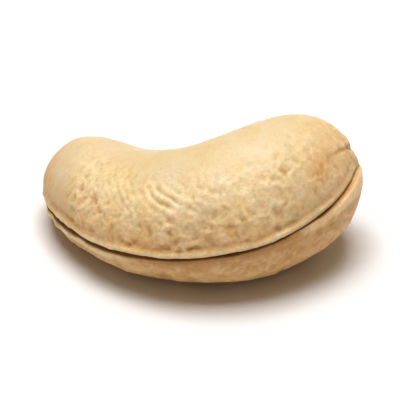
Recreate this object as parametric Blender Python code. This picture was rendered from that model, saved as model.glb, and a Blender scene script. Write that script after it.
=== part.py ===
# Shelled cashew kernel: two seed halves that meet along a seam, and the germ held between them.
# Metres, +Z up. It lies on its flatter side, its hollow towards +Y and its broad end towards +X.
import math

import bmesh
import bpy
import numpy as np

MM = 0.001

# The bend, followed along the kernel's middle line from the slim end to the broad end
MIDDLE_LENGTH = 31.9 * MM
BEND_TURN = math.radians(136.4)
BEND_PLACE = 0.549
BEND_SPREAD = 0.289

# Half widths in the plane of the bend, at even steps along the middle line
HALF_WIDTHS = (5.81 * MM, 5.53 * MM, 6.21 * MM, 6.25 * MM, 6.20 * MM)
HOLLOW_SIDE_SHARE = 0.976

# Half thicknesses across the seam, and the share of them that lies under it
HALF_THICKNESSES = (4.66 * MM, 4.48 * MM, 6.25 * MM, 6.35 * MM)
LOWER_SHARES = (0.893, 0.819, 0.898, 0.955)

# How full the ends and the cross-sections are: 2 is an ellipse, more is squarer
SLIM_END_FULLNESS = 3.30
BROAD_END_FULLNESS = 3.98
UPPER_FULLNESS = 1.84
LOWER_FULLNESS = 2.15

# The seam: its rise towards both ends, as a share of the half thickness, and its rounded lips
SEAM_RISE_SLIM = -0.102
SEAM_RISE_BROAD = 0.229
SEAM_GAP = 0.32 * MM
LIP_RADIUS = 0.30 * MM
INNER_DISH = 0.45 * MM

# How far the lower half stands out, and the upper half in, along the rounded back by the broad end
LOWER_PROUD = 0.54 * MM
UPPER_SET_IN = 0.28 * MM
PROUD_PLACE = 0.90
PROUD_REACH = 0.16

# The germ: a drop that lies in the seam at the broad end, its tip just proud of the outline
GERM_ROOT = (21.2 * MM, -6.9 * MM)
GERM_TIP = (25.35 * MM, -6.1 * MM)
GERM_HALF_WIDTH = 0.98 * MM
GERM_HALF_HEIGHT = 0.96 * MM
GERM_LIFT = 0.36 * MM
GERM_PLACE = 0.935
GERM_ROOT_TAPER = 0.60
GERM_TIP_TAPER = 0.32
POCKET_UPPER = 1.42 * MM
POCKET_LOWER = 0.68 * MM
POCKET_REACH = 1.25 * MM
POCKET_FADE = 3.2 * MM
NOTCH_SET_BACK = 0.50 * MM

# How it lies: leaned so that three low spots under the lower half meet the ground
LEAN_ALONG = math.radians(-8.9)
LEAN_ACROSS = math.radians(-0.2)
LOW_SPOTS = ((0.18, 0.0, 0.36 * MM), (0.47, 0.30, 0.46 * MM), (0.80, -0.10, 0.48 * MM))
LOW_SPOT_REACH = 2.3 * MM
REST_PRESS = 0.10 * MM

# Broad uneven swells of the grown surface: height, then turns per metre along x, y and z
SWELLS = (
    (0.09 * MM, 61.0, 83.0, 40.0, 0.7),
    (0.04 * MM, 120.0, -72.0, 88.0, 2.1),
)

# Counts of the mesh
STATIONS = 58
ARC_POINTS = 28
LIP_POINTS = 3
FACE_POINTS = 10
GERM_RINGS = 14
GERM_SIDES = 22


def clear_scene():
    """Remove every object, so that only the kernel is in the scene."""
    for old in list(bpy.data.objects):
        bpy.data.objects.remove(old, do_unlink=True)


def smooth_through(values, places):
    """Natural cubic spline through evenly spaced values, read at places from 0 to 1."""
    values = np.asarray(values, dtype=float)
    count = len(values)
    step = 1.0 / (count - 1)
    matrix = np.eye(count)
    right = np.zeros(count)
    for i in range(1, count - 1):
        matrix[i, i - 1:i + 2] = (1.0, 4.0, 1.0)
        right[i] = 6.0 * (values[i - 1] - 2.0 * values[i] + values[i + 1]) / step ** 2
    bends = np.linalg.solve(matrix, right)
    low = np.clip((places / step).astype(int), 0, count - 2)
    ahead = places / step - low
    back = 1.0 - ahead
    line = back * values[low] + ahead * values[low + 1]
    curve = (back ** 3 - back) * bends[low] + (ahead ** 3 - ahead) * bends[low + 1]
    return line + curve * step ** 2 / 6.0


def middle_line(places):
    """Middle line of the bend: the heading turns most at BEND_PLACE. Gives x, y and heading."""
    fine = np.linspace(0.0, 1.0, 1601)
    rate = np.exp(-0.5 * ((fine - BEND_PLACE) / BEND_SPREAD) ** 2)
    turned = np.concatenate([[0.0], np.cumsum((rate[1:] + rate[:-1]) / 2.0)])
    heading = BEND_TURN * (turned / turned[-1] - 0.5)
    step = MIDDLE_LENGTH / (len(fine) - 1)
    run_x = np.cos(heading)
    run_y = np.sin(heading)
    line_x = np.concatenate([[0.0], np.cumsum((run_x[1:] + run_x[:-1]) / 2.0)]) * step
    line_y = np.concatenate([[0.0], np.cumsum((run_y[1:] + run_y[:-1]) / 2.0)]) * step
    x = np.interp(places, fine, line_x)
    y = np.interp(places, fine, line_y)
    return x, y, np.interp(places, fine, heading)


def profile(places):
    """Sizes of the cross-section at each place along the kernel, narrowed to nothing at the ends."""
    centred = 2.0 * places - 1.0
    fullness = np.where(centred < 0.0, SLIM_END_FULLNESS, BROAD_END_FULLNESS)
    cap = np.sqrt(np.clip(1.0 - np.abs(centred) ** fullness, 0.0, 1.0))
    width = smooth_through(HALF_WIDTHS, places)
    thick = smooth_through(HALF_THICKNESSES, places)
    share = smooth_through(LOWER_SHARES, places)
    rise = SEAM_RISE_BROAD * np.clip((places - 0.6) / 0.4, 0.0, 1.0) ** 2
    rise = rise + SEAM_RISE_SLIM * np.clip((0.4 - places) / 0.4, 0.0, 1.0) ** 2
    return cap, width, thick, share, rise


def half_section(side):
    """Closed outline of one half: over the outside, round one lip, along the inner face, round the other.

    Gives the part across, as a share of the width, how far each point is set in by the lip,
    the share of the height, and the share of the inner dish.
    """
    fullness = UPPER_FULLNESS if side > 0 else LOWER_FULLNESS
    arc = np.linspace(0.0, math.pi, ARC_POINTS)
    cos_arc = np.cos(arc)
    across = np.sign(cos_arc) * np.abs(cos_arc) ** (2.0 / fullness)
    height = np.abs(np.sin(arc)) ** (2.0 / fullness)
    lip = np.linspace(0.0, math.pi / 2.0, LIP_POINTS + 1)[1:]
    face = np.linspace(-1.0, 1.0, FACE_POINTS + 2)[1:-1]
    around = np.concatenate([across, -np.ones(LIP_POINTS), face, np.ones(LIP_POINTS)])
    inset = np.concatenate([
        np.zeros(ARC_POINTS),
        1.0 - np.cos(lip),
        np.ones(FACE_POINTS),
        (1.0 - np.cos(lip))[::-1],
    ])
    drop = np.concatenate([
        np.zeros(ARC_POINTS),
        np.sin(lip),
        np.ones(FACE_POINTS),
        np.sin(lip)[::-1],
    ])
    up = np.concatenate([height, np.zeros(2 * LIP_POINTS + FACE_POINTS)])
    dish = np.concatenate([
        np.zeros(ARC_POINTS + LIP_POINTS),
        1.0 - face ** 2,
        np.zeros(LIP_POINTS),
    ])
    return around, inset, drop, up, dish


def germ_distance(x, y):
    """Distance in plan from the germ's own axis, from its root to its tip."""
    run_x = GERM_TIP[0] - GERM_ROOT[0]
    run_y = GERM_TIP[1] - GERM_ROOT[1]
    along = ((x - GERM_ROOT[0]) * run_x + (y - GERM_ROOT[1]) * run_y) / (run_x ** 2 + run_y ** 2)
    along = np.clip(along, 0.0, 1.0)
    return np.hypot(x - GERM_ROOT[0] - along * run_x, y - GERM_ROOT[1] - along * run_y)


def low_spot_swell(x, y):
    """How far the underside swells down at the three spots that the kernel rests on."""
    down = np.zeros_like(x)
    for place, across, depth in LOW_SPOTS:
        spot_x, spot_y, heading = middle_line(np.array([place]))
        width = smooth_through(HALF_WIDTHS, np.array([place]))
        centre_x = spot_x + np.sin(heading) * width * across
        centre_y = spot_y - np.cos(heading) * width * across
        away = ((x - centre_x) ** 2 + (y - centre_y) ** 2) / LOW_SPOT_REACH ** 2
        down = down + depth * np.exp(-away)
    return down


def half_points(side):
    """Points of one half as a grid of stations and outline points, side 1 above the seam, -1 below."""
    steps = np.linspace(0.0, math.pi, STATIONS + 2)
    places = 0.5 * (1.0 - np.cos(steps))
    cap, width, thick, share, rise = profile(places)
    x, y, heading = middle_line(places)
    around, inset, drop, up, dish = half_section(side)

    seam = thick * cap * rise
    lip_level = SEAM_GAP / 2.0 + LIP_RADIUS
    if side > 0:
        reach = cap * (thick * (2.0 - share) - thick * rise - lip_level)
    else:
        reach = cap * (thick * share + thick * rise - lip_level)

    side_share = np.where(around > 0.0, 1.0, HOLLOW_SIDE_SHARE)
    across = (cap * width)[:, None] * (around * side_share)[None, :]
    proud = -UPPER_SET_IN if side > 0 else LOWER_PROUD
    proud = proud * np.exp(-((places - PROUD_PLACE) / PROUD_REACH) ** 2)
    across = across + (cap * proud)[:, None] * np.clip(around, 0.0, 1.0)[None, :]
    face_inset = np.where(dish > 0.0, np.abs(around), 1.0)
    across = across - np.sign(around)[None, :] * (cap * LIP_RADIUS)[:, None] * (inset * face_inset)[None, :]
    level = lip_level + reach[:, None] * up[None, :]
    level = level - (cap * LIP_RADIUS)[:, None] * drop[None, :]
    level = level + (cap * INNER_DISH)[:, None] * dish[None, :]

    plan_x = x[:, None] + np.sin(heading)[:, None] * across
    plan_y = y[:, None] - np.cos(heading)[:, None] * across
    fade = np.clip(1.0 - (level - SEAM_GAP / 2.0) / POCKET_FADE, 0.0, 1.0) ** 2
    near_germ = fade * np.exp(-(germ_distance(plan_x, plan_y) / POCKET_REACH) ** 3)
    if side > 0:
        level = level + POCKET_UPPER * near_germ
        plan_x = plan_x - NOTCH_SET_BACK * near_germ
    else:
        level = level + POCKET_LOWER * near_germ

    height = seam[:, None] + side * level
    if side < 0:
        height = height - low_spot_swell(plan_x, plan_y) * np.clip(-height / (3.0 * MM), 0.0, 1.0) ** 2
    return np.stack([plan_x, plan_y, height], axis=-1)


def germ_points():
    """Points of the germ: a drop, slim at its root and blunt at its tip, ring by ring."""
    steps = np.linspace(0.0, math.pi, GERM_RINGS + 2)
    along = 0.5 * (1.0 - np.cos(steps))
    girth = np.clip(along, 0.0, 1.0) ** GERM_ROOT_TAPER * np.clip(1.0 - along, 0.0, 1.0) ** GERM_TIP_TAPER
    girth = girth / girth.max()
    turn = np.linspace(0.0, 2.0 * math.pi, GERM_SIDES, endpoint=False)
    run = np.array([GERM_TIP[0] - GERM_ROOT[0], GERM_TIP[1] - GERM_ROOT[1]])
    length = np.hypot(run[0], run[1])
    run = run / length
    across = GERM_HALF_WIDTH * girth[:, None] * np.cos(turn)[None, :]
    level = GERM_HALF_HEIGHT * girth[:, None] * np.sin(turn)[None, :]
    cap, _, thick, _, rise = profile(np.array([GERM_PLACE]))
    middle = float((thick * cap * rise)[0]) + GERM_LIFT
    x = GERM_ROOT[0] + run[0] * length * along[:, None] + run[1] * across
    y = GERM_ROOT[1] + run[1] * length * along[:, None] - run[0] * across
    return np.stack([x, y, middle + level], axis=-1)


def swell(points):
    """Move the points by the broad uneven swells, each a wave that runs through the kernel."""
    moved = points.copy()
    for size, turns_x, turns_y, turns_z, start in SWELLS:
        wave = turns_x * points[..., 0] + turns_y * points[..., 1] + turns_z * points[..., 2]
        push = size * np.sin(2.0 * math.pi * wave + start)
        moved[..., 0] += push * 0.5
        moved[..., 1] += push * 0.6
        moved[..., 2] += push * 0.4
    return moved


def lay_down(points):
    """Lean the kernel across its bend, then along its length, as it lies on the ground."""
    cos_a = math.cos(LEAN_ACROSS)
    sin_a = math.sin(LEAN_ACROSS)
    cos_l = math.cos(LEAN_ALONG)
    sin_l = math.sin(LEAN_ALONG)
    x = points[..., 0]
    y = cos_a * points[..., 1] + sin_a * points[..., 2]
    z = -sin_a * points[..., 1] + cos_a * points[..., 2]
    return np.stack([cos_l * x + sin_l * z, y, -sin_l * x + cos_l * z], axis=-1)


def settle(pieces):
    """Centre the kernel over the origin and press its lowest spots flat on the ground at z = 0."""
    every = np.concatenate([points.reshape(-1, 3) for points in pieces])
    ground = every[:, 2].min() + REST_PRESS
    middle = (every.max(axis=0) + every.min(axis=0)) / 2.0
    shift = np.array([middle[0], middle[1], ground])
    laid = []
    for points in pieces:
        moved = points - shift
        moved[..., 2] = np.maximum(moved[..., 2], 0.0)
        laid.append(moved)
    return laid


def closed_mesh(name, grid):
    """Closed mesh from rings of points, the first and the last ring drawn together to one point."""
    rings, sides = grid.shape[:2]
    mesh = bmesh.new()
    first = mesh.verts.new(grid[0].mean(axis=0))
    last = mesh.verts.new(grid[-1].mean(axis=0))
    rows = []
    for ring in grid[1:-1]:
        rows.append([mesh.verts.new(point) for point in ring])
    for j in range(sides):
        k = (j + 1) % sides
        mesh.faces.new((first, rows[0][j], rows[0][k]))
        mesh.faces.new((last, rows[-1][k], rows[-1][j]))
        for i in range(rings - 3):
            mesh.faces.new((rows[i][j], rows[i + 1][j], rows[i + 1][k], rows[i][k]))
    bmesh.ops.triangulate(mesh, faces=mesh.faces[:])
    bmesh.ops.recalc_face_normals(mesh, faces=mesh.faces[:])
    data = bpy.data.meshes.new(name)
    mesh.to_mesh(data)
    mesh.free()
    return data


def kernel_material(name, colour, roughness):
    """Plain dry kernel flesh of one colour."""
    material = bpy.data.materials.new(name)
    material.use_nodes = True
    shader = material.node_tree.nodes["Principled BSDF"]
    shader.inputs["Base Color"].default_value = (*colour, 1.0)
    shader.inputs["Roughness"].default_value = roughness
    shader.inputs["Metallic"].default_value = 0.0
    material.diffuse_color = (*colour, 1.0)
    return material


def add_piece(name, grid, material):
    """Add one solid of the kernel, smoothly shaded except over the edges of its inner face."""
    data = closed_mesh(name, grid)
    piece = bpy.data.objects.new(name, data)
    bpy.context.scene.collection.objects.link(piece)
    data.materials.append(material)
    data.shade_smooth()
    data.set_sharp_from_angle(angle=math.radians(40.0))
    return piece


def build_kernel():
    """The upper half, the lower half and the germ, laid as the kernel rests."""
    upper = lay_down(swell(half_points(1)))
    lower = lay_down(swell(half_points(-1)))
    germ = lay_down(swell(germ_points()))
    upper, lower, germ = settle([upper, lower, germ])
    add_piece("cotyledon_upper", upper, kernel_material("kernel_upper", (0.78, 0.62, 0.38), 0.55))
    add_piece("cotyledon_lower", lower, kernel_material("kernel_lower", (0.70, 0.51, 0.30), 0.58))
    add_piece("radicle", germ, kernel_material("germ_tan", (0.62, 0.42, 0.24), 0.60))


clear_scene()
build_kernel()
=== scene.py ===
# Shelled cashew kernel: the fine surface of its two seed halves and its germ, on a pale floor
import math

import bpy
import numpy as np
from mathutils import Matrix, Vector


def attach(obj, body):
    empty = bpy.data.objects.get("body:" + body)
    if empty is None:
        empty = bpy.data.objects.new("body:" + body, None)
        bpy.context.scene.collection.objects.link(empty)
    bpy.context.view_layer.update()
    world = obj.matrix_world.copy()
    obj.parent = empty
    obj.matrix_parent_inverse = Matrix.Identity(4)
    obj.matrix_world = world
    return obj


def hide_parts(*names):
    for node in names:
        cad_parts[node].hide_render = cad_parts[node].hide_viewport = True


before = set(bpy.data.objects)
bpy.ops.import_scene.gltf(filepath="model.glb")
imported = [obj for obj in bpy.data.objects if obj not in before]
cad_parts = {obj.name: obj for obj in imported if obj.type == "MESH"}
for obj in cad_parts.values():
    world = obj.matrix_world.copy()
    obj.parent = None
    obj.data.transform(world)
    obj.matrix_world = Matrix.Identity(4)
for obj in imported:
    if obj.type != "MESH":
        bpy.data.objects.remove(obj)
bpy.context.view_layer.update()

mm = 0.001
print("solids loaded:", ", ".join(sorted(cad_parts)))

# The kernel's form, in mm, radians and shares, the same as that of its solids
kernel = {
    "middleLength": 31.9,
    "bendTurn": math.radians(136.4),
    "bendPlace": 0.549,
    "bendSpread": 0.289,
    "halfWidths": (5.81, 5.53, 6.21, 6.25, 6.20),
    "hollowSideShare": 0.976,
    "halfThicknesses": (4.66, 4.48, 6.25, 6.35),
    "lowerShares": (0.893, 0.819, 0.898, 0.955),
    "slimEndFullness": 3.30,
    "broadEndFullness": 3.98,
    "upperFullness": 1.84,
    "lowerFullness": 2.15,
    "seamRiseSlim": -0.102, "seamRiseSlimFrom": 0.4,
    "seamRiseBroad": 0.229, "seamRiseBroadFrom": 0.6,
    "innerDish": 0.45,
    "lowerProud": 0.54, "upperShy": 0.28, "proudPlace": 0.90, "proudReach": 0.16,
    "leanAlong": math.radians(-8.9),
    "leanAcross": math.radians(-0.2),
    "lowSpots": ((0.18, 0.0, 0.36), (0.47, 0.30, 0.46), (0.80, -0.10, 0.48)),
    "lowSpotReach": 2.3, "lowSpotBelow": 3.0,
    "restPress": 0.10,
    "swells": ((0.09, 0.061, 0.083, 0.040, 0.7), (0.04, 0.120, -0.072, 0.088, 2.1)),
}


def smoothThrough(values, places):
    # natural cubic spline through evenly spaced values, read at places from 0 to 1
    values = np.asarray(values, dtype=float)
    count = len(values)
    step = 1.0 / (count - 1)
    matrix = np.eye(count)
    right = np.zeros(count)
    for i in range(1, count - 1):
        matrix[i, i - 1:i + 2] = (1.0, 4.0, 1.0)
        right[i] = 6.0 * (values[i - 1] - 2.0 * values[i] + values[i + 1]) / step ** 2
    bends = np.linalg.solve(matrix, right)
    low = np.clip((places / step).astype(int), 0, count - 2)
    ahead = places / step - low
    back = 1.0 - ahead
    line = back * values[low] + ahead * values[low + 1]
    curve = (back ** 3 - back) * bends[low] + (ahead ** 3 - ahead) * bends[low + 1]
    return line + curve * step ** 2 / 6.0


def middleLine(places):
    # heading = turn x (running share of a bell curve - 1/2); x and y are the sums of its cosine and sine
    fine = np.linspace(0.0, 1.0, 1601)
    rate = np.exp(-0.5 * ((fine - kernel["bendPlace"]) / kernel["bendSpread"]) ** 2)
    turned = np.concatenate([[0.0], np.cumsum((rate[1:] + rate[:-1]) / 2.0)])
    heading = kernel["bendTurn"] * (turned / turned[-1] - 0.5)
    step = kernel["middleLength"] / (len(fine) - 1)
    runX, runY = np.cos(heading), np.sin(heading)
    lineX = np.concatenate([[0.0], np.cumsum((runX[1:] + runX[:-1]) / 2.0)]) * step
    lineY = np.concatenate([[0.0], np.cumsum((runY[1:] + runY[:-1]) / 2.0)]) * step
    return np.interp(places, fine, lineX), np.interp(places, fine, lineY), np.interp(places, fine, heading)


def profile(places):
    # cap = sqrt(1 - |2s - 1|^n) narrows the splined width and thickness to nothing at both ends
    centred = 2.0 * places - 1.0
    fullness = np.where(centred < 0.0, kernel["slimEndFullness"], kernel["broadEndFullness"])
    cap = np.sqrt(np.clip(1.0 - np.abs(centred) ** fullness, 0.0, 1.0))
    width = smoothThrough(kernel["halfWidths"], places)
    thick = smoothThrough(kernel["halfThicknesses"], places)
    share = smoothThrough(kernel["lowerShares"], places)
    broadFrom, slimFrom = kernel["seamRiseBroadFrom"], kernel["seamRiseSlimFrom"]
    rise = kernel["seamRiseBroad"] * np.clip((places - broadFrom) / (1.0 - broadFrom), 0.0, 1.0) ** 2
    rise = rise + kernel["seamRiseSlim"] * np.clip((slimFrom - places) / slimFrom, 0.0, 1.0) ** 2
    return cap, width, thick, share, rise


# Noise, worked out on whole arrays
noiseGain = 1.6  # brings the blended noise to about -1 to 1


def gradientNoise(points, size, seed):
    # directions drawn for a lattice, dotted with the way to each corner, blended by t^3 (6t^2 - 15t + 10)
    draw = np.random.default_rng(seed)
    order = draw.permutation(256)
    turns = draw.normal(size=(256, 3))
    turns = turns / np.linalg.norm(turns, axis=1, keepdims=True)
    cell = points / size
    low = np.floor(cell).astype(int)
    part = cell - low
    ease = part ** 3 * (part * (part * 6.0 - 15.0) + 10.0)
    total = np.zeros(points.shape[:-1])
    for step in np.ndindex(2, 2, 2):
        corner = np.array(step)
        spot = low + corner
        key = order[(order[(order[spot[..., 0] & 255] + spot[..., 1]) & 255] + spot[..., 2]) & 255]
        weight = np.prod(np.where(corner == 1, ease, 1.0 - ease), axis=-1)
        total = total + weight * np.sum(turns[key] * (part - corner), axis=-1)
    return total * noiseGain


def layeredNoise(points, size, layers, seed):
    # noise of one size, plus half as much at half the size, and so on
    total = np.zeros(points.shape[:-1])
    for layer in range(layers):
        total = total + 0.5 ** layer * gradientNoise(points, size * 0.5 ** layer, seed + layer)
    return total


def cellNoise(points, size, seed):
    # distances, in cells, to the nearest and to the second nearest of one random point in each cell
    draw = np.random.default_rng(seed)
    order = draw.permutation(256)
    offset = draw.uniform(0.1, 0.9, size=(256, 3))
    cell = points / size
    low = np.floor(cell).astype(int)
    nearest = np.full(points.shape[:-1], 9.0)
    second = np.full(points.shape[:-1], 9.0)
    for step in np.ndindex(3, 3, 3):
        spot = low + np.array(step) - 1
        key = order[(order[(order[spot[..., 0] & 255] + spot[..., 1]) & 255] + spot[..., 2]) & 255]
        away = np.linalg.norm(spot + offset[key] - cell, axis=-1)
        second = np.minimum(second, np.maximum(nearest, away))
        nearest = np.minimum(nearest, away)
    return nearest, second


def bell(value, middle, reach):
    # e^-((value - middle) / reach)^2
    return np.exp(-((value - middle) / reach) ** 2)


def ramp(value, low, high):
    # t^2 (3 - 2t), from 0 at low to 1 at high
    part = np.clip((value - low) / (high - low), 0.0, 1.0)
    return part * part * (3.0 - 2.0 * part)


# The seam as it looks, in mm: how wide it gapes from the slim end to the broad end, and its rounded lips
seam = {
    "gaps": (0.20, 0.56, 0.36, 0.20, 0.10, 0.02),
    "closeAt": 0.42, "touch": 0.05, "lipFadeCap": 0.25,
    "gapWaves": ((0.050, 5.3, 0.4), (0.035, 11.7, 2.0), (0.022, 23.0, 4.1)),
    "raggedPlace": 0.19, "raggedReach": 0.14, "raggedSize": 0.95, "raggedHeight": 0.24,
    "upperLips": (0.10, 0.16, 0.18, 0.19, 0.18, 0.10),
    "lowerLips": (0.12, 0.20, 0.22, 0.22, 0.30, 0.04),
    "ridgeAt": 0.20, "ridgeReach": 0.18, "ridgeHeight": (0.150, 0.060),
    # the ridge's pale share is a painted highlight along it, the trough's dark share painted shade in it
    "ridgeHighlight": (1.0, 0.3), "ridgeHighlightReach": 0.15,
    "troughAt": 0.74, "troughReach": 0.32, "troughDepth": (0.130, 0.030),
    "troughShade": (0.7, 0.0), "troughShadeReach": 0.30,
    "ridgeFrom": (0.10, 0.26), "ridgeTo": (0.96, 0.84), "ridgeLess": 0.55, "ridgeLessFrom": (0.66, 0.84),
    "raggedEdge": 0.6,
    "crease": ((23.0, -9.2, 3.8), (23.63, -8.26, 3.37), (24.1, -7.4, 3.0), (24.5, -6.4, 2.64),
               (24.75, -5.3, 1.80), (24.70, -4.2, 0.95)),
    "creaseDepths": (0.05, 0.13, 0.17, 0.24, 0.48, 0.48), "creaseReach": (0.17, 0.24),
}

# The germ, in mm, how snugly the halves close round it, and its few creases and shares of colour
germ = {
    "root": (21.2, -6.9), "tip": (25.13, -6.1),
    "halfWidth": 1.06, "halfHeight": 1.25, "lift": 0.16, "place": 0.935,
    "rootTaper": 0.60, "tipTaper": 0.40,
    "clearance": -0.02, "lowerClearance": -0.20, "pocketFade": 3.0,
    "upperDents": ((0.22, 0.60, (24.80, -5.30, 1.40)), (0.20, 0.50, (24.62, -6.1, 2.60))),
    "lowerDents": ((0.36, 1.00, (25.25, -5.25, 0.60)),),
    "wrinkleSize": 0.5, "wrinkleHeight": 0.025, "toneHeight": 0.03,
    "toast": 0.20, "blush": 0.15, "lively": 0.5,
    "rings": 120, "sides": 140,
}

# Counts of each half's grid
halves = {"stations": 540, "arcPoints": 150, "lipPoints": 6, "facePoints": 22, "crowding": 0.45}

# The grown surface, in mm: size and height of each pattern; a pair says where a share starts and ends to change
surface = {
    "lumpSize": 3.4, "lumpHeight": 0.060,
    "warpSize": 1.7, "warpReach": 0.40, "bendSize": 2.6, "bendReach": 0.50,
    "netSize": 1.40, "netReach": 0.20, "netLevel": 0.35, "netHeight": 0.066,
    "ribSpacing": 0.80, "ribHeight": 0.075, "ribCentre": (18.2, 8.6), "ribSway": 0.8,
    "wrinkleWidth": 0.62, "wrinkleLength": 2.4, "wrinkleHeight": 0.075,
    "rippleWidth": 0.80, "rippleLength": 2.6, "rippleHeight": 0.055, "rippleSlant": 0.25,
    "grainSize": 0.72, "grainHeight": 0.085,
    "pitSize": 1.6, "pitDepth": 0.020, "pitReach": 0.15, "pitCalm": 0.35,
    "fineSize": 0.30, "fineHeight": 0.022, "fineCalm": 0.4,
    "strongSize": 3.2, "strongLeast": 0.45, "strongFrom": (-0.45, 0.5),
    "wrinklePatch": 4.2, "ripplePatch": 4.6, "patchFrom": (-0.2, 0.6), "hiddenFrom": (9.0, 12.0),
    "ribPlain": 0.75, "wrinklePlain": 0.35,
    "lowFrom": (4.4, 3.0), "lowMore": 0.5, "lowerShare": 0.9,
    "capFrom": (0.10, 0.45), "stillFrom": (0.10, 1.0), "stillLeast": 0.35, "stillGerm": 0.85,
    "wanderSize": 2.1, "wanderReach": 0.45, "toneHeight": 0.065,
}

# Patches of the upper half: share, middle and reach along, middle and reach around, in mm
patches = {
    "ribs": ((1.0, 14.9, 1.9, 5.1, 1.2), (0.42, 11.0, 2.8, 5.0, 1.6)),
    "wrinkles": ((1.0, 19.0, 4.0, 4.6, 2.2), (1.0, 23.5, 3.5, 2.2, 1.6)),
    "ripples": ((1.0, 7.5, 3.4, 3.8, 2.2),),
}

# How lively the surface is, as a share: smooth on the crown and the slim end, finely wrinkled on the flanks
liveliness = {
    "calm": 0.16, "lower": 0.80,
    "frontFrom": (8.6, 4.8), "slimFrom": (2.5, 7.5), "broadFrom": (24.0, 29.0), "broadLess": 0.45,
    "backFrom": (11.0, 15.5), "backMost": 0.75,
}


def germGirth(along):
    # thickness along the drop, as a share: s^root taper x (1 - s)^tip taper, made 1 at its thickest
    root, tip = germ["rootTaper"], germ["tipTaper"]
    along = np.clip(along, 0.0, 1.0)
    thickest = root / (root + tip)
    return along ** root * (1.0 - along) ** tip / (thickest ** root * (1.0 - thickest) ** tip)


def germRoom(x, y, clearance):
    # half the height that the germ and its clearance take at a place in plan: an ellipse across its axis
    runX, runY = germ["tip"][0] - germ["root"][0], germ["tip"][1] - germ["root"][1]
    length = math.hypot(runX, runY)
    along = ((x - germ["root"][0]) * runX + (y - germ["root"][1]) * runY) / length ** 2
    away = ((x - germ["root"][0]) * runY - (y - germ["root"][1]) * runX) / length
    girth = germGirth(along * length / (length + clearance))
    width = np.maximum((germ["halfWidth"] + 1.6 * clearance) * girth, 1e-6)
    return (germ["halfHeight"] + clearance) * girth * np.clip(1.0 - (away / width) ** 2, 0.0, 1.0) ** 0.5


def germMiddle():
    # the level of the germ's axis over the plane of the seam's ends
    cap, _, thick, _, rise = profile(np.array([germ["place"]]))
    return float((thick * cap * rise)[0]) + germ["lift"]


def lowSpotSwell(x, y):
    # a bell curve down at each of the three spots that the kernel rests on
    down = np.zeros_like(x)
    for place, across, depth in kernel["lowSpots"]:
        spotX, spotY, heading = middleLine(np.array([place]))
        width = smoothThrough(kernel["halfWidths"], np.array([place]))
        centreX = spotX + np.sin(heading) * width * across
        centreY = spotY - np.cos(heading) * width * across
        away = ((x - centreX) ** 2 + (y - centreY) ** 2) / kernel["lowSpotReach"] ** 2
        down = down + depth * np.exp(-away)
    return down


def halfSection(side):
    # superellipse arc (cos^(2/n), sin^(2/n)), a quarter-round lip, a dished inner face, and the other lip
    fullness = kernel["upperFullness"] if side > 0 else kernel["lowerFullness"]
    even = np.linspace(0.0, 1.0, halves["arcPoints"])
    arc = math.pi * (even - halves["crowding"] * np.sin(2.0 * math.pi * even) / (2.0 * math.pi))
    cosArc = np.cos(arc)
    across = np.sign(cosArc) * np.abs(cosArc) ** (2.0 / fullness)
    height = np.abs(np.sin(arc)) ** (2.0 / fullness)
    lips, faces, arcs = halves["lipPoints"], halves["facePoints"], halves["arcPoints"]
    lip = np.linspace(0.0, math.pi / 2.0, lips + 1)[1:]
    lipInset, lipDrop, lipOutside = 1.0 - np.cos(lip), np.sin(lip), np.cos(lip) ** 2
    face = np.sin(np.linspace(-0.5, 0.5, faces + 2)[1:-1] * math.pi)
    return {
        "around": np.concatenate([across, -np.ones(lips), face, np.ones(lips)]),
        "inset": np.concatenate([np.zeros(arcs), lipInset, np.ones(faces), lipInset[::-1]]),
        "drop": np.concatenate([np.zeros(arcs), lipDrop, np.ones(faces), lipDrop[::-1]]),
        "up": np.concatenate([height, np.zeros(2 * lips + faces)]),
        "dish": np.concatenate([np.zeros(arcs + lips), 1.0 - face ** 2, np.zeros(lips)]),
        "outside": np.concatenate([np.ones(arcs), lipOutside, np.zeros(faces), lipOutside[::-1]]),
    }


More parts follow.
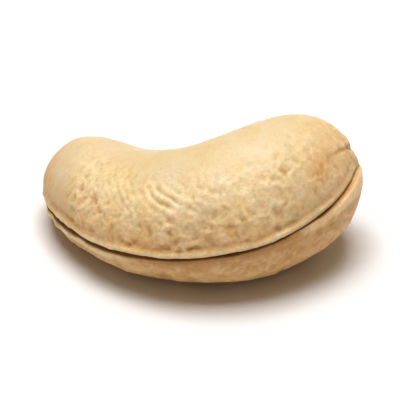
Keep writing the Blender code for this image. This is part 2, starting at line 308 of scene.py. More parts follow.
def halfShape(side):
    # each station's section, set square to the middle line: plan = line + across x normal,
    # height = seam + level
    steps = np.linspace(0.0, math.pi, halves["stations"] + 2)
    places = 0.5 * (1.0 - np.cos(steps))
    cap, width, thick, share, rise = profile(places)
    x, y, heading = middleLine(places)
    section = halfSection(side)
    gap = smoothThrough(seam["gaps"], places)
    for size, turns, start in seam["gapWaves"]:
        gap = gap + size * np.sin(2.0 * math.pi * turns * places + start)
    lip = smoothThrough(seam["upperLips"] if side > 0 else seam["lowerLips"], places)
    tight = np.clip(cap / seam["lipFadeCap"], 0.0, 1.0)

    seamLevel = thick * cap * rise
    lipLevel = gap / 2.0 + lip
    if side > 0:
        reach = cap * (thick * (2.0 - share) - thick * rise - lipLevel)
    else:
        reach = cap * (thick * share + thick * rise - lipLevel)
    sideShare = np.where(section["around"] > 0.0, 1.0, kernel["hollowSideShare"])
    across = (cap * width)[:, None] * (section["around"] * sideShare)[None, :]
    proud = -kernel["upperShy"] if side > 0 else kernel["lowerProud"]
    proud = proud * np.exp(-((places - kernel["proudPlace"]) / kernel["proudReach"]) ** 2)
    across = across + (cap * proud)[:, None] * np.clip(section["around"], 0.0, 1.0)[None, :]
    onFace = section["dish"] > 0.0
    inset = section["inset"] * np.where(onFace, np.abs(section["around"]), 1.0)
    across = across - np.sign(section["around"])[None, :] * (cap * lip)[:, None] * inset
    level = lipLevel[:, None] + reach[:, None] * section["up"][None, :]
    level = level - (tight * lip)[:, None] * section["drop"][None, :]
    level = level + (cap * kernel["innerDish"])[:, None] * section["dish"][None, :]
    # inside the groove, the two faces draw together
    inward = (cap * width)[:, None] * (1.0 - np.abs(section["around"]))[None, :]
    drawn = (gap[:, None] - seam["touch"]) / 2.0 * ramp(inward, 0.0, seam["closeAt"]) * onFace[None, :]
    level = level - drawn

    planX = x[:, None] + np.sin(heading)[:, None] * across
    planY = y[:, None] - np.cos(heading)[:, None] * across
    # the pocket: near the seam, the surface is moved away until it clears the germ
    overSeam = germMiddle() - seamLevel[:, None]
    room = germRoom(planX, planY, germ["clearance"] if side > 0 else germ["lowerClearance"])
    needed = np.where(room > 0.0, room + side * overSeam, 0.0)
    fade = np.clip(1.0 - (level - gap[:, None] / 2.0) / germ["pocketFade"], 0.0, 1.0) ** 2
    push = np.maximum(needed - gap[:, None] / 2.0 + drawn, 0.0)
    level = level + push * fade
    nearGerm = np.clip(room / germ["halfHeight"], 0.0, 1.0) * fade
    height = seamLevel[:, None] + side * level
    if side < 0:
        below = np.clip(-height / kernel["lowSpotBelow"], 0.0, 1.0) ** 2
        height = height - lowSpotSwell(planX, planY) * below
    grid = np.stack([planX, planY, height], axis=-1)
    for depth, wide, place in germ["upperDents"] if side > 0 else germ["lowerDents"]:
        away = np.linalg.norm(grid - np.array(place), axis=-1)
        grid[..., 0] = grid[..., 0] - depth * bell(away, 0.0, wide)

    # surface coordinates in mm: the length along the kernel at this distance across, and the way round
    # from the front edge, which is below 0 on the front lip
    along = kernel["middleLength"] * places[:, None] + across * heading[:, None]
    sides = np.hypot(np.diff(across, axis=1), np.diff(level, axis=1))
    around = np.concatenate([np.zeros((len(places), 1)), np.cumsum(sides, axis=1)], axis=1)
    arcs = halves["arcPoints"]
    total = around[:, arcs - 1:arcs]
    ring = around[:, -1:] + np.hypot(across[:, :1] - across[:, -1:], level[:, :1] - level[:, -1:])
    edge = np.minimum.reduce([around, np.abs(total - around), ring - around])
    around[:, -halves["lipPoints"]:] -= ring
    lively = np.full_like(edge, liveliness["lower"])
    if side > 0:
        front = ramp(around, *liveliness["frontFrom"]) * ramp(along, *liveliness["slimFrom"])
        front = front * (1.0 - liveliness["broadLess"] * ramp(along, *liveliness["broadFrom"]))
        back = liveliness["backMost"] * ramp(around, *liveliness["backFrom"])
        lively = liveliness["calm"] + (1.0 - liveliness["calm"]) * np.maximum(front, back)
    return {
        "side": side, "grid": grid, "places": places, "cap": cap, "along": along, "around": around,
        "edge": edge, "outside": section["outside"], "nearGerm": nearGerm, "lively": lively,
    }


def swell(points):
    # two broad sine waves that run through the kernel
    moved = points.copy()
    for size, turnsX, turnsY, turnsZ, start in kernel["swells"]:
        wave = turnsX * points[..., 0] + turnsY * points[..., 1] + turnsZ * points[..., 2]
        push = size * np.sin(2.0 * math.pi * wave + start)
        moved = moved + push[..., None] * np.array([0.5, 0.6, 0.4])
    return moved


def layDown(points):
    # a turn about X by the lean across, then about Y by the lean along
    cosA, sinA = math.cos(kernel["leanAcross"]), math.sin(kernel["leanAcross"])
    cosL, sinL = math.cos(kernel["leanAlong"]), math.sin(kernel["leanAlong"])
    x = points[..., 0]
    y = cosA * points[..., 1] + sinA * points[..., 2]
    z = -sinA * points[..., 1] + cosA * points[..., 2]
    return np.stack([cosL * x + sinL * z, y, -sinL * x + cosL * z], axis=-1)


def outwardNormals(grid, side):
    # cross product of the steps along and round the grid, turned away from the seam
    alongStep = np.gradient(grid, axis=0)
    aroundStep = np.roll(grid, -1, axis=1) - np.roll(grid, 1, axis=1)
    normal = np.cross(alongStep, aroundStep)
    normal = normal / np.maximum(np.linalg.norm(normal, axis=-1, keepdims=True), 1e-9)
    crown = normal[grid.shape[0] // 2, halves["arcPoints"] // 2, 2]
    return normal * (np.sign(crown) * side)


diagonal = 0.707  # turns the two surface coordinates by 45 degrees


def drawnOut(across, along, width, length, seed):
    # noise that is narrow across one coordinate and long along the other, with a slow drift
    return gradientNoise(np.stack([across / width, along / length, 0.5 + 0.05 * along], axis=-1), 1.0, seed)


def creaseDepth(grid):
    # a groove of bell-shaped section along straight runs in space, deepest and widest in the notch at its end
    points = [np.array(point) for point in seam["crease"]]
    depths, reach = seam["creaseDepths"], seam["creaseReach"]
    groove = np.zeros(grid.shape[:-1])
    for part, start in enumerate(points[:-1]):
        run = points[part + 1] - start
        share = np.clip((grid - start) @ run / (run @ run), 0.0, 1.0)
        away = np.linalg.norm(grid - start - share[..., None] * run, axis=-1)
        depth = depths[part] + share * (depths[part + 1] - depths[part])
        wide = reach[0] + (reach[1] - reach[0]) * (part + share) / (len(points) - 1)
        groove = np.maximum(groove, depth * np.exp(-(away / wide) ** 2))
    return groove


def patched(base, along, around, spots):
    # the greatest of a base share and each spot's share x bell curve along x bell curve around
    for most, middleAlong, reachAlong, middleAround, reachAround in spots:
        spot = most * bell(along, middleAlong, reachAlong) * bell(around, middleAround, reachAround)
        base = np.maximum(base, spot)
    return base


def surfaceRelief(shape):
    # detail = net of fine ridges + grains + ribs on arcs + wrinkles + ripples - pits + fine grains - crease;
    # relief = detail + lumps + ridge - trough + ragged edge;
    # tone = detail as a share, from -1 in a crevice to 1 on a crest, which sets painted shade in the crevices
    # and painted highlights on the crests, + painted highlight on the ridge - painted shade in the trough
    grid, side = shape["grid"], shape["side"]
    seed = 100 if side > 0 else 300
    pick = 0 if side > 0 else 1
    along, around, edge = shape["along"], shape["around"], shape["edge"]
    lively, places = shape["lively"], shape["places"]
    capFade = ramp(shape["cap"], *surface["capFrom"])[:, None]

    lumps = layeredNoise(grid, surface["lumpSize"], 2, seed)
    warps = [gradientNoise(grid, surface["warpSize"], seed + layer) for layer in (11, 12, 13)]
    bent = grid + np.stack(warps, axis=-1) * surface["warpReach"]
    nearest, second = cellNoise(bent, surface["netSize"], seed + 20)
    net = np.exp(-((second - nearest) / surface["netReach"]) ** 2) - surface["netLevel"]
    grains = layeredNoise(bent, surface["grainSize"], 2, seed + 30)
    bend = surface["bendReach"] * gradientNoise(grid, surface["bendSize"], seed + 40)
    centreAlong, centreAround = surface["ribCentre"]
    arc = np.hypot(along - centreAlong, around - centreAround) + surface["ribSway"] * bend
    ribs = np.cos(2.0 * math.pi * arc / surface["ribSpacing"])
    slant, slope = (along + around) * diagonal + bend, (along - around) * diagonal
    wrinkles = drawnOut(slant, slope, surface["wrinkleWidth"], surface["wrinkleLength"], seed + 45)
    upright = along - surface["rippleSlant"] * around + bend
    ripples = drawnOut(upright, around, surface["rippleWidth"], surface["rippleLength"], seed + 48)
    pitNear, _ = cellNoise(grid, surface["pitSize"], seed + 50)
    pits = np.exp(-(pitNear / surface["pitReach"]) ** 2)
    fine = gradientNoise(grid, surface["fineSize"], seed + 60)

    strong = ramp(layeredNoise(grid, surface["strongSize"], 2, seed + 70), *surface["strongFrom"])
    strong = surface["strongLeast"] + (1.0 - surface["strongLeast"]) * strong
    ribPlaces = np.zeros_like(along)
    wrinklePlaces = ramp(gradientNoise(grid, surface["wrinklePatch"], seed + 80), *surface["patchFrom"])
    ripplePlaces = ramp(gradientNoise(grid, surface["ripplePatch"], seed + 85), *surface["patchFrom"])
    low = surface["lowerShare"]
    if side > 0:
        hidden = ramp(around, *surface["hiddenFrom"])
        ribPlaces = patched(ribPlaces, along, around, patches["ribs"])
        wrinklePlaces = patched(wrinklePlaces * hidden, along, around, patches["wrinkles"])
        ripplePlaces = patched(ripplePlaces * hidden, along, around, patches["ripples"])
        low = 1.0 + surface["lowMore"] * ramp(around, *surface["lowFrom"])
    plain = 1.0 - surface["ribPlain"] * np.clip(ribPlaces, 0.0, 1.0)
    plain = plain - surface["wrinklePlain"] * np.clip(wrinklePlaces - ribPlaces, 0.0, 1.0)
    detail = lively * strong * plain * low * (surface["netHeight"] * net + surface["grainHeight"] * grains)
    detail = detail + capFade * ribPlaces * surface["ribHeight"] * ribs
    detail = detail + capFade * wrinklePlaces * surface["wrinkleHeight"] * wrinkles
    detail = detail + capFade * ripplePlaces * surface["rippleHeight"] * ripples
    pitShare = surface["pitCalm"] + (1.0 - surface["pitCalm"]) * lively
    detail = detail - strong * plain * pitShare * surface["pitDepth"] * pits
    fineShare = surface["fineCalm"] + (1.0 - surface["fineCalm"]) * lively
    detail = detail + fineShare * surface["fineHeight"] * fine

    still = surface["stillLeast"] + (1.0 - surface["stillLeast"]) * ramp(edge, *surface["stillFrom"])
    still = still * (1.0 - surface["stillGerm"] * np.clip(shape["nearGerm"], 0.0, 1.0))
    detail = detail * still
    wander = 1.0 + surface["wanderReach"] * gradientNoise(grid, surface["wanderSize"], seed + 90)
    lipPlaces = ramp(places, *seam["ridgeFrom"]) * ramp(places, *seam["ridgeTo"])
    lipPlaces = lipPlaces * (1.0 - seam["ridgeLess"] * ramp(places, *seam["ridgeLessFrom"]))
    lipPlaces = capFade * lipPlaces[:, None]
    ridge = seam["ridgeHeight"][pick] * bell(edge, seam["ridgeAt"], seam["ridgeReach"])
    trough = seam["troughDepth"][pick] * bell(edge, seam["troughAt"], seam["troughReach"])
    smooth = surface["lumpHeight"] * lumps * still + (ridge - trough) * wander * lipPlaces
    ragged = bell(places, seam["raggedPlace"], seam["raggedReach"])[:, None]
    ragged = ragged * bell(edge, 0.0, seam["raggedEdge"])
    smooth = smooth + seam["raggedHeight"] * ragged * gradientNoise(grid, seam["raggedSize"], seed + 95)
    if side > 0:
        detail = detail - creaseDepth(grid)
    # a painted highlight along the seam's ridge and painted shade in the trough above it
    pale = seam["ridgeHighlight"][pick] * bell(edge, seam["ridgeAt"], seam["ridgeHighlightReach"])
    paintedTroughShade = seam["troughShade"][pick] * bell(edge, seam["troughAt"], seam["troughShadeReach"])
    tone = detail / surface["toneHeight"] + (pale - paintedTroughShade) * lipPlaces * wander
    return (smooth + detail) * shape["outside"][None, :], tone * shape["outside"][None, :]


def germShape():
    # a drop along its axis, an ellipse in section, as thick as germGirth says, moved outward by its wrinkles
    steps = np.linspace(0.0, math.pi, germ["rings"] + 2)
    along = 0.5 * (1.0 - np.cos(steps))
    girth = germGirth(along)
    turn = np.linspace(0.0, 2.0 * math.pi, germ["sides"], endpoint=False)
    run = np.array([germ["tip"][0] - germ["root"][0], germ["tip"][1] - germ["root"][1]])
    length = np.hypot(run[0], run[1])
    run = run / length
    across = germ["halfWidth"] * girth[:, None] * np.cos(turn)[None, :]
    level = germ["halfHeight"] * girth[:, None] * np.sin(turn)[None, :]
    middle = germMiddle()
    x = germ["root"][0] + run[0] * length * along[:, None] + run[1] * across
    y = germ["root"][1] + run[1] * length * along[:, None] - run[0] * across
    grid = np.stack([x, y, middle + level], axis=-1)
    centre = np.stack([x.mean(axis=1), y.mean(axis=1), np.full(len(along), middle)], axis=-1)[:, None, :]
    outward = grid - centre
    outward = outward / np.maximum(np.linalg.norm(outward, axis=-1, keepdims=True), 1e-9)
    drawnAlong = grid * np.array([0.5, 1.0, 1.0])
    wrinkle = germ["wrinkleHeight"] * layeredNoise(drawnAlong, germ["wrinkleSize"], 3, 501)
    wrinkle = wrinkle * ramp(girth, 0.0, 0.5)[:, None]
    return grid + outward * wrinkle[..., None], grid, wrinkle


# The plain form settles the place, as it did for the solids, and then the relief goes on
upperShape, lowerShape = halfShape(1), halfShape(-1)
germGrid, germPlain, germWrinkle = germShape()
plainPieces = [layDown(swell(grid)) for grid in (upperShape["grid"], lowerShape["grid"], germPlain)]
every = np.concatenate([points.reshape(-1, 3) for points in plainPieces])
middle = (every.max(axis=0) + every.min(axis=0)) / 2.0
settleShift = np.array([middle[0], middle[1], every[:, 2].min() + kernel["restPress"]])
print("form worked out")


def settled(grid):
    # laid down, moved over the origin, and pressed flat where it would pass the ground
    moved = layDown(swell(grid)) - settleShift
    moved[..., 2] = np.maximum(moved[..., 2], 0.0)
    return moved * mm


def closedPiece(name, grid, values):
    # rings joined by quads, with the first and the last ring drawn together to one point each, and the
    # volume's sign (sum of a x b . c) says whether the faces have to be turned to point outward
    rings, sides = grid.shape[:2]
    body = grid[1:-1].reshape(-1, 3)
    first, last = grid[0].mean(axis=0), grid[-1].mean(axis=0)
    points = np.concatenate([body, [first, last]])
    rows = rings - 2
    index = np.arange(rows * sides).reshape(rows, sides)
    onward = np.roll(index, -1, axis=1)
    quads = np.stack([index[:-1], index[1:], onward[1:], onward[:-1]], axis=-1).reshape(-1, 4)
    startFan = np.stack([np.full(sides, rows * sides), index[0], onward[0]], axis=-1)
    endFan = np.stack([np.full(sides, rows * sides + 1), onward[-1], index[-1]], axis=-1)
    a, b, c, d = (points[quads[:, corner]] for corner in range(4))
    volume = np.sum(np.cross(a, b) * c) + np.sum(np.cross(a, c) * d)
    if volume < 0.0:
        quads, startFan, endFan = quads[:, ::-1], startFan[:, ::-1], endFan[:, ::-1]
    mesh = bpy.data.meshes.new(name)
    mesh.from_pydata(points.tolist(), [], startFan.tolist() + quads.tolist() + endFan.tolist())
    mesh.shade_smooth()
    for label, value in values.items():
        ends = [value[0].mean(), value[-1].mean()]
        shares = np.concatenate([value[1:-1].ravel(), ends]).astype(np.float32)
        mesh.attributes.new(label, "FLOAT", "POINT").data.foreach_set("value", shares)
    piece = bpy.data.objects.new(name, mesh)
    bpy.context.scene.collection.objects.link(piece)
    return piece


# Where the colours lie on each half, as shares and mm: the toasting by the seam, partly painted shade on the
# lower flank, the painted highlights on the pale lips, the painted shade in and under the groove, and the
# reddened spots as share, middle and reach along, middle and reach around
tints = {
    "wanderSize": 4.0, "wanderSeed": 700, "endFrom": (0.75, 0.15),
    "upperToastAndShade": 0.85, "upperToastAndShadeEdge": (0.2, 2.6),
    "upperToastAndShadeLess": 0.35, "upperToastAndShadeLessFrom": (21.0, 28.0),
    "upperLipHighlight": 0.85, "upperLipHighlightEdge": (0.12, 0.17), "upperWander": 0.10, "upperEnd": 0.25,
    "upperSpots": ((0.55, 29.4, 1.5, 3.1, 1.1), (0.22, 30.5, 3.0, 4.0, 3.0)),
    "slimRed": 0.80, "slimRedAlong": (-0.8, 1.7), "slimRedFrom": (0.0, 1.5),
    "upperBackRed": 0.30, "upperBackFrom": (12.5, 16.0),
    "lowerRimHighlights": ((0.60, 14.5, 8.5), (0.45, 24.5, 28.0), (0.40, 29.5, 31.5)),
    "rimHighlightReach": 0.34, "rimHighlightReachMore": 0.40, "rimHighlightReachFrom": (30.5, 33.5),
    "shadowReach": 0.55, "shadowFrom": (10.0, 15.0), "shadowTo": (28.0, 24.0),
    "shadowToast": 0.4, "shadowDark": 0.40,
    "lowerToast": 0.80, "lowerWander": 0.15, "lowerRimHighlight": 1.5, "lowerEnd": 0.15,
    "lowerSpots": ((0.40, 32.1, 1.1, 1.7, 0.7),),
    "lowerBackRed": 0.35, "lowerBackFrom": (9.0, 15.0), "backEven": 0.7, "backWander": 0.6,
    "seamShadeLess": 0.50, "seamShadeLessFrom": (29.0, 31.5),
}


def spotted(along, around, spots):
    # the sum of each spot's share x bell curve along x bell curve around
    total = np.zeros_like(along)
    for most, middleAlong, reachAlong, middleAround, reachAround in spots:
        total = total + most * bell(along, middleAlong, reachAlong) * bell(around, middleAround, reachAround)
    return total


def upperTints(shape, wander, endShade):
    # toast = beside the seam (toasted tone, partly painted shade on the lower flank), less towards the broad
    # end - painted highlight on the lip; blush = spots + slim end + back
    along, around, edge = shape["along"], shape["around"], shape["edge"]
    # toasted tone beside the seam, partly painted shade and warm bounce light on the lower flank
    toast = tints["upperToastAndShade"] * bell(edge, *tints["upperToastAndShadeEdge"])
    toast = toast * (1.0 - tints["upperToastAndShadeLess"] * ramp(along, *tints["upperToastAndShadeLessFrom"]))
    # a painted highlight on the lip just above the groove
    toast = toast - tints["upperLipHighlight"] * bell(edge, *tints["upperLipHighlightEdge"])
    toast = toast + tints["upperWander"] * wander + tints["upperEnd"] * endShade
    slimEnd = bell(along, *tints["slimRedAlong"]) * ramp(around, *tints["slimRedFrom"])
    back = ramp(around, *tints["upperBackFrom"]) * (tints["backEven"] + tints["backWander"] * wander)
    blush = spotted(along, around, tints["upperSpots"])
    blush = blush + tints["slimRed"] * slimEnd + tints["upperBackRed"] * back
    return toast, blush, np.zeros_like(edge)


def lowerTints(shape, wander, endShade):
    # toast = all over - painted highlight on the rim + painted shadow under the groove; blush = spot + back
    along, around, edge = shape["along"], shape["around"], shape["edge"]
    # the pale rim below the groove is a painted highlight on the lower lip
    rimHighlight = np.zeros_like(edge)
    for most, start, end in tints["lowerRimHighlights"]:
        rimHighlight = rimHighlight + most * ramp(along, start, end)
    rimHighlightReach = tints["rimHighlightReach"] + tints["rimHighlightReachMore"] * ramp(along, *tints["rimHighlightReachFrom"])
    rimHighlight = rimHighlight * bell(edge, 0.0, rimHighlightReach)
    shadow = bell(edge, 0.0, tints["shadowReach"])
    shadow = shadow * ramp(along, *tints["shadowFrom"]) * ramp(along, *tints["shadowTo"])
    toast = tints["lowerToast"] + tints["lowerWander"] * wander - tints["lowerRimHighlight"] * rimHighlight
    toast = toast + tints["lowerEnd"] * endShade + tints["shadowToast"] * shadow
    back = ramp(around, *tints["lowerBackFrom"]) * (tints["backEven"] + tints["backWander"] * wander)
    blush = spotted(along, around, tints["lowerSpots"]) + tints["lowerBackRed"] * back
    return toast, blush, shadow


def halfPiece(name, shape, tintsOf):
    # the plain form moved along its normals by the relief, with the shares that its colours follow
    relief, tone = surfaceRelief(shape)
    grid = shape["grid"] + outwardNormals(shape["grid"], shape["side"]) * relief[..., None]
    wander = layeredNoise(shape["grid"], tints["wanderSize"], 3, tints["wanderSeed"])
    toast, blush, shadow = tintsOf(shape, wander, ramp(shape["cap"], *tints["endFrom"])[:, None])
    # painted shade inside the seam, less towards the broad end
    seamShade = 1.0 - tints["seamShadeLess"] * ramp(shape["along"], *tints["seamShadeLessFrom"])
    return closedPiece(name, settled(grid), {
        # the relief share holds the tone: painted shade in the crevices and painted highlights on the crests,
        # the ridge and the trough
        "relief": tone,
        "toast": np.clip(toast, 0.0, 1.2),
        "blush": np.clip(blush, 0.0, 1.0),
        # the groove share: painted shade on the seam's inner faces plus the painted shadow under the groove
        "groove": (1.0 - shape["outside"])[None, :] * seamShade + tints["shadowDark"] * shadow,
        "lively": shape["lively"],
    })


upperHalf = halfPiece("seedHalfUpper", upperShape, upperTints)
lowerHalf = halfPiece("seedHalfLower", lowerShape, lowerTints)
germDrop = closedPiece("germDrop", settled(germGrid), {
    # the germ's wrinkles set its painted shade in their hollows and painted highlights on their tops
    "relief": germWrinkle / germ["toneHeight"],
    "toast": np.full_like(germWrinkle, germ["toast"]),
    "blush": np.full_like(germWrinkle, germ["blush"]),
    "groove": np.zeros_like(germWrinkle),
    "lively": np.full_like(germWrinkle, germ["lively"]),
})
faceCount = sum(len(piece.data.polygons) for piece in (upperHalf, lowerHalf, germDrop))
print("surfaces made:", faceCount, "faces")


# Finishes: colours in linear light
# the crevice colour is painted shade and the crest colour a painted highlight
fleshUpper = {
    "pale": (0.81, 0.668, 0.437), "cream": (0.79, 0.63, 0.35), "toast": (0.81, 0.505, 0.215),
    "blush": (0.77, 0.42, 0.15), "paintedShade": (0.50, 0.275, 0.095), "paintedHighlight": (0.94, 0.77, 0.485),
    "roughLow": 0.38, "roughHigh": 0.56, "subsurface": 0.25,
}
fleshLower = {
    "pale": (0.95, 0.75, 0.455), "cream": (0.91, 0.70, 0.395), "toast": (0.655, 0.37, 0.130),
    "blush": (0.76, 0.38, 0.16), "paintedShade": (0.42, 0.215, 0.075), "paintedHighlight": (0.86, 0.65, 0.37),
    "roughLow": 0.42, "roughHigh": 0.60, "subsurface": 0.25,
}
fleshGerm = {
    "pale": (0.80, 0.63, 0.38), "cream": (0.77, 0.58, 0.33), "toast": (0.66, 0.42, 0.20),
    "blush": (0.74, 0.40, 0.175), "paintedShade": (0.47, 0.255, 0.095), "paintedHighlight": (0.90, 0.745, 0.48),
    "roughLow": 0.40, "roughHigh": 0.55, "subsurface": 0.25,
}

# What the three finishes share: scales of their noises per mm, how strongly each shows, and lengths in metres
finish = {
    "broadScale": 0.30, "blotchScale": 0.85, "mottleScale": 2.6, "grainScale": 6.0, "poreScale": 1.9,
    "broadFrom": (0.38, 0.64), "noiseFrom": (0.3, 0.7), "blotchToast": 0.30,
    # how far the relief share paints shade into the crevices and highlights onto the crests
    "paintedShadeFrom": (-0.10, -1.2), "paintedShadeMost": 0.60, "paintedHighlightFrom": (0.10, 1.0), "paintedHighlightMost": 0.42,
    "mottleMiddle": 0.52, "mottleStrength": 0.66, "calmPaintedShade": 0.865, "livelyShade": 1.01,
    "poreFrom": (0.05, 0.20), "grainBump": 0.35, "mottleBump": 0.65, "poreBump": 0.30,
    "bumpStrength": 0.7, "bumpDistance": 0.00008,
    "scatterRadius": (1.0, 0.55, 0.28), "scatterScale": 0.0007, "ior": 1.47,
}


def fleshMaterial(name, look):
    # pale to cream in broad clouds, then toast (partly painted shade beside the seam), blush, painted shade in
    # the groove and crevices and painted highlights on the crests by their shares, then mottled, with painted
    # shade on the calm crown; the bump adds grain, mottle and pores finer than the mesh
    material = bpy.data.materials.new(name)
    material.use_nodes = True
    nodes, links = material.node_tree.nodes, material.node_tree.links
    shader = nodes["Principled BSDF"]

    def node(kind, **settings):
        made = nodes.new(kind)
        for key, value in settings.items():
            setattr(made, key, value)
        return made

    def noise(vector, scale, detail, roughness=0.5):
        made = node("ShaderNodeTexNoise")
        made.inputs["Scale"].default_value = scale
        made.inputs["Detail"].default_value = detail
        made.inputs["Roughness"].default_value = roughness
        links.new(vector, made.inputs["Vector"])
        return made.outputs["Fac"]

    def spread(value, low, high, outLow, outHigh):
        made = node("ShaderNodeMapRange", clamp=True)
        for key, number in (("From Min", low), ("From Max", high), ("To Min", outLow), ("To Max", outHigh)):
            made.inputs[key].default_value = number
        links.new(value, made.inputs["Value"])
        return made.outputs["Result"]

    def maths(operation, first, second):
        made = node("ShaderNodeMath", operation=operation)
        for socket, value in zip(made.inputs, (first, second)):
            if isinstance(value, (int, float)):
                socket.default_value = value
            else:
                links.new(value, socket)
        return made.outputs["Value"]

    def mixed(share, first, second, blend="MIX"):
        made = node("ShaderNodeMix", data_type="RGBA", blend_type=blend)
        for key, value in ((0, share), (6, first), (7, second)):
            if isinstance(value, tuple):
                made.inputs[key].default_value = (*value, 1.0)
            elif isinstance(value, (int, float)):
                made.inputs[key].default_value = value
            else:
                links.new(value, made.inputs[key])
        return made.outputs[2]

    def attribute(label):
        return node("ShaderNodeAttribute", attribute_name=label).outputs["Fac"]

    place = node("ShaderNodeTexCoord").outputs["Object"]
    perMm = node("ShaderNodeMapping")
    perMm.inputs["Scale"].default_value = (1.0 / mm, 1.0 / mm, 1.0 / mm)
    links.new(place, perMm.inputs["Vector"])
    inMm = perMm.outputs["Vector"]

    broad = noise(inMm, finish["broadScale"], 3.0)
    blotch = noise(inMm, finish["blotchScale"], 4.0, 0.6)
    mottle = noise(inMm, finish["mottleScale"], 4.0, 0.65)
    grain = noise(inMm, finish["grainScale"], 3.0, 0.6)
    blotches = spread(blotch, *finish["noiseFrom"], -finish["blotchToast"], finish["blotchToast"])
    toast = maths("ADD", attribute("toast"), blotches)
    colour = mixed(spread(broad, *finish["broadFrom"], 0.0, 1.0), look["pale"], look["cream"])
    # the toast share is partly painted shade beside the seam and under the groove, lighter where painted
    # highlights lie on the lips
    colour = mixed(spread(toast, 0.0, 1.0, 0.0, 1.0), colour, look["toast"])
    colour = mixed(attribute("blush"), colour, look["blush"])
    relief, lively = attribute("relief"), attribute("lively")
    # painted shade in the crevices and painted highlights on the crests, by the relief share
    creviceShadeShare = spread(relief, *finish["paintedShadeFrom"], 0.0, finish["paintedShadeMost"])
    colour = mixed(creviceShadeShare, colour, look["paintedShade"])
    # the groove share mixes in painted shade inside the seam and the painted shadow under it
    colour = mixed(attribute("groove"), colour, look["paintedShade"])
    colour = mixed(spread(relief, *finish["paintedHighlightFrom"], 0.0, finish["paintedHighlightMost"]), colour, look["paintedHighlight"])
    shade = maths("MULTIPLY", maths("SUBTRACT", mottle, finish["mottleMiddle"]), lively)
    shade = maths("MULTIPLY", shade, finish["mottleStrength"])
    # painted shade: the calm crown is made darker where the overhead light falls most on it
    level = spread(lively, liveliness["calm"], 1.0, finish["calmPaintedShade"], finish["livelyShade"])
    shade = maths("ADD", shade, level)
    tone = node("ShaderNodeCombineColor")
    for key in ("Red", "Green", "Blue"):
        links.new(shade, tone.inputs[key])
    colour = mixed(1.0, colour, tone.outputs["Color"], "MULTIPLY")
    links.new(colour, shader.inputs["Base Color"])

    pores = node("ShaderNodeTexVoronoi", feature="F1")
    pores.inputs["Scale"].default_value = finish["poreScale"]
    links.new(inMm, pores.inputs["Vector"])
    pore = spread(pores.outputs["Distance"], *finish["poreFrom"], 0.0, 1.0)
    rough = spread(mottle, *finish["noiseFrom"], look["roughLow"], look["roughHigh"])
    links.new(rough, shader.inputs["Roughness"])
    height = maths("MULTIPLY", grain, finish["grainBump"])
    height = maths("ADD", height, maths("MULTIPLY", mottle, finish["mottleBump"]))
    height = maths("ADD", height, maths("MULTIPLY", pore, finish["poreBump"]))
    bump = node("ShaderNodeBump")
    bump.inputs["Strength"].default_value = finish["bumpStrength"]
    bump.inputs["Distance"].default_value = finish["bumpDistance"]
    links.new(height, bump.inputs["Height"])
    links.new(bump.outputs["Normal"], shader.inputs["Normal"])

    shader.inputs["Subsurface Weight"].default_value = look["subsurface"]
    shader.inputs["Subsurface Radius"].default_value = finish["scatterRadius"]
    shader.inputs["Subsurface Scale"].default_value = finish["scatterScale"]
    shader.inputs["IOR"].default_value = finish["ior"]
    material.diffuse_color = (*look["cream"], 1.0)
    return material


upperHalf.data.materials.append(fleshMaterial("paleUpperFlesh", fleshUpper))
lowerHalf.data.materials.append(fleshMaterial("toastedLowerFlesh", fleshLower))
germDrop.data.materials.append(fleshMaterial("germFlesh", fleshGerm))
for piece, node, slot in (
    (upperHalf, "cotyledon_upper", "kernel_upper"),
    (lowerHalf, "cotyledon_lower", "kernel_lower"),
    (germDrop, "radicle", "germ_tan"),
):
    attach(piece, "root")
    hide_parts(node)
print("finishes made")

# Floor, light and camera
studio = {
    "floorHalf": 0.6, "floorLevel": -0.00001, "floorColour": (0.80, 0.81, 0.835),
    "floorRough": 0.85, "floorShine": 0.2, "contrast": 0.90,
    "roomLight": 0.29, "roomColour": (1.0, 0.80, 0.58),
    "softboxSize": 0.27, "softboxPlace": (-0.01, 0.05, 0.40), "softboxPower": 2.00,
}
view = {
    "azimuth": 3.6, "elevation": 34.0, "distance": 0.50, "frameWidth": 0.0340, "sensorWidth": 36.0,
    "target": (0.00003, -0.00056, 0.00540), "nearest": 0.01, "farthest": 10.0,
}

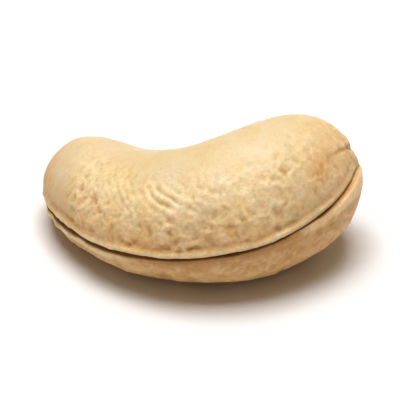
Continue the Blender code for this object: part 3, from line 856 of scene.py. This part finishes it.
floorMesh = bpy.data.meshes.new("floor")
reach, level = studio["floorHalf"], studio["floorLevel"]
corners = [(-reach, -reach, level), (reach, -reach, level), (reach, reach, level), (-reach, reach, level)]
floorMesh.from_pydata(corners, [], [(0, 1, 2, 3)])
floor = bpy.data.objects.new("floor", floorMesh)
bpy.context.scene.collection.objects.link(floor)
floorPaint = bpy.data.materials.new("paleFloor")
floorPaint.use_nodes = True
floorShader = floorPaint.node_tree.nodes["Principled BSDF"]
floorShader.inputs["Base Color"].default_value = (*studio["floorColour"], 1.0)
floorShader.inputs["Roughness"].default_value = studio["floorRough"]
floorShader.inputs["Specular IOR Level"].default_value = studio["floorShine"]
floorMesh.materials.append(floorPaint)

softbox = bpy.data.lights.new("softbox", "AREA")
softbox.size = studio["softboxSize"]
softbox.energy = studio["softboxPower"]
softboxObject = bpy.data.objects.new("softbox", softbox)
softboxObject.location = studio["softboxPlace"]
softboxObject.rotation_euler = (-Vector(studio["softboxPlace"])).to_track_quat("-Z", "Y").to_euler()
bpy.context.scene.collection.objects.link(softboxObject)

world = bpy.data.worlds.new("paleRoom")
world.use_nodes = True
room = world.node_tree.nodes["Background"]
room.inputs["Color"].default_value = (*studio["roomColour"], 1.0)
room.inputs["Strength"].default_value = studio["roomLight"]
bpy.context.scene.world = world
bpy.context.scene.view_settings.view_transform = "Standard"
bpy.context.scene.view_settings.gamma = studio["contrast"]

turn, tilt = math.radians(view["azimuth"]), math.radians(view["elevation"])
back = Vector((math.sin(turn) * math.cos(tilt), -math.cos(turn) * math.cos(tilt), math.sin(tilt)))
right = Vector((math.cos(turn), math.sin(turn), 0.0))
up = back.cross(right)
camera = bpy.data.cameras.new("camera")
camera.sensor_width = view["sensorWidth"]
camera.lens = camera.sensor_width * view["distance"] / view["frameWidth"]
camera.clip_start = view["nearest"]
camera.clip_end = view["farthest"]
cameraObject = bpy.data.objects.new("camera", camera)
cameraPlace = Matrix.Translation(Vector(view["target"]) + back * view["distance"])
cameraObject.matrix_world = cameraPlace @ Matrix((right, up, back)).transposed().to_4x4()
bpy.context.scene.collection.objects.link(cameraObject)
bpy.context.scene.camera = cameraObject
print("stage set")
